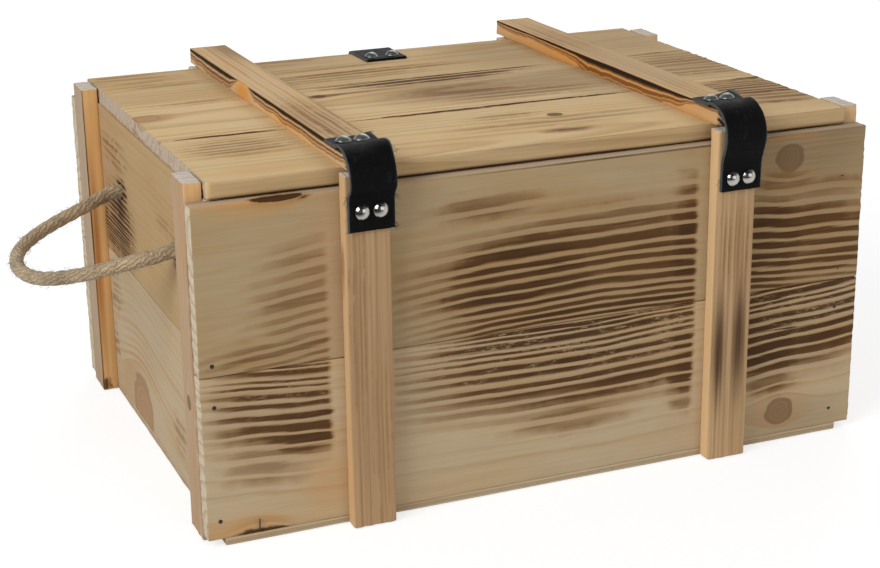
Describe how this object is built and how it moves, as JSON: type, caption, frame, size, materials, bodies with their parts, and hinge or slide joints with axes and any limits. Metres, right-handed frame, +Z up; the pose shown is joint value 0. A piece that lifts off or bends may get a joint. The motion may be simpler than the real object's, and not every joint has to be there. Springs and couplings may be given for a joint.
{
  "type": "wooden wine box",
  "caption": "Long wooden box of scorched planks and battens, with a lid on leather strap hinges, a leather pull tab and rope handles at both ends.",
  "frame": {"origin": "middle of the box on the floor, midway between the ends and between the back and front extents", "axes": "+X along the box, +Y from the hinge side to the opening side, +Z up"},
  "size_m": [0.6716, 0.3889, 0.2641],
  "materials": {
    "wall_pine": "dry sawn, scorched",
    "lid_pine": "dry planed, scorched",
    "batten_pine": "dry sawn, scorched",
    "bottom_plywood": "dry",
    "black_leather": "worn semi-matt",
    "bright_nickel": "polished",
    "pin_steel": "dull",
    "brown_jute": "rough fibre"
  },
  "bodies": {
    "box": {"hinge_wall_lower_plank": "wall_pine", "hinge_wall_upper_plank": "wall_pine", "opening_wall_lower_plank": "wall_pine", "opening_wall_upper_plank": "wall_pine", "left_end_lower_plank": "wall_pine", "left_end_upper_plank": "wall_pine", "right_end_lower_plank": "wall_pine", "right_end_upper_plank": "wall_pine", "bottom_panel": "bottom_plywood", "left_hinge_corner_batten": "batten_pine", "left_opening_corner_batten": "batten_pine", "right_hinge_corner_batten": "batten_pine", "right_opening_corner_batten": "batten_pine", "hinge_wall_left_batten": "batten_pine", "hinge_wall_right_batten": "batten_pine", "opening_wall_left_batten": "batten_pine", "opening_wall_right_batten": "batten_pine", "left_hinge_strap": "black_leather", "right_hinge_strap": "black_leather", "wall_strap_nails": "bright_nickel", "long_wall_pins": "pin_steel", "wall_batten_pins": "pin_steel", "corner_batten_pins": "pin_steel", "bottom_staples": "pin_steel", "left_rope_knots": "brown_jute", "right_rope_knots": "brown_jute"},
    "lid": {"lid_plank_hinge_side": "lid_pine", "lid_plank_middle": "lid_pine", "lid_plank_opening_side": "lid_pine", "left_lid_batten": "batten_pine", "right_lid_batten": "batten_pine", "pull_tab": "black_leather", "lid_strap_nails": "bright_nickel", "pull_tab_nails": "bright_nickel", "lid_batten_pins": "pin_steel"},
    "left_handle": {"left_rope_loop": "brown_jute"},
    "right_handle": {"right_rope_loop": "brown_jute"}
  },
  "joints": [
    {"name": "lid_hinge", "type": "hinge", "parent": "box", "child": "lid", "pos_m": [0, -0.186, 0.246], "axis": [1, 0, 0], "range_deg": [0, 110], "deforming": ["left_hinge_strap", "right_hinge_strap"]},
    {"name": "left_handle_swing", "type": "hinge", "parent": "box", "child": "left_handle", "pos_m": [-0.244, -0.008, 0.18], "axis": [0, 1, 0], "range_deg": [-60, 100], "stiffness_Nm_per_rad": 0.15, "springref_deg": 2.86, "deforming": ["left_rope_loop"]},
    {"name": "right_handle_swing", "type": "hinge", "parent": "box", "child": "right_handle", "pos_m": [0.244, -0.008, 0.18], "axis": [0, -1, 0], "range_deg": [-60, 100], "stiffness_Nm_per_rad": 0.15, "springref_deg": 2.86, "deforming": ["right_rope_loop"]}
  ]
}
